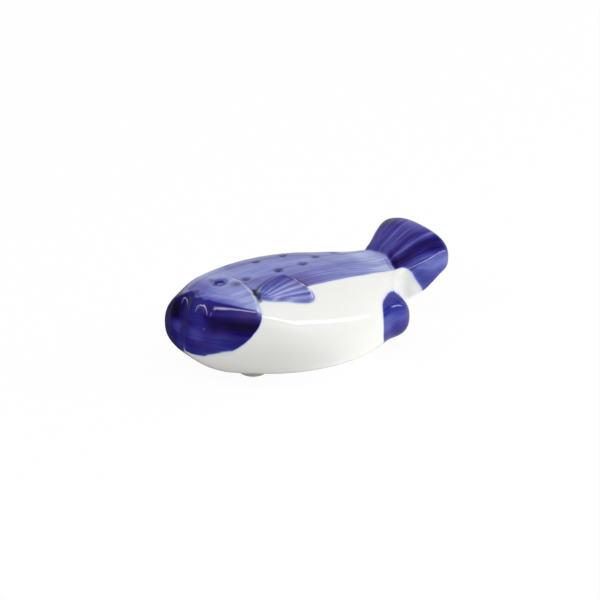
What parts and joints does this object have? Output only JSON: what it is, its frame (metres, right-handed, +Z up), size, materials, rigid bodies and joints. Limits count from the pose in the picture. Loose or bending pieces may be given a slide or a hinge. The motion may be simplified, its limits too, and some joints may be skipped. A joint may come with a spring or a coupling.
{
  "type": "chopstick rest",
  "caption": "Glazed ceramic chopstick rest shaped as a puffer fish on its side, with a saddle in front of its raised tail and clear foot pads.",
  "frame": {"origin": "middle of the bounding box in plan, on the table plane under the foot pads", "axes": "+X from the snout to the tail, +Y towards the fish's back, +Z up from the table"},
  "size_m": [0.061, 0.0381, 0.0172],
  "materials": {
    "porcelain": "clear glossy glaze over cobalt-blue brush painting",
    "clear_pad": "clear polyurethane, smooth",
    "adhesive": "clear adhesive film"
  },
  "bodies": {
    "root": {"porcelain_body": "porcelain", "belly_foot_pad": "clear_pad", "back_foot_pad": "clear_pad", "tail_foot_pad": "clear_pad", "belly_pad_adhesive": "adhesive", "back_pad_adhesive": "adhesive", "tail_pad_adhesive": "adhesive"}
  },
  "joints": []
}
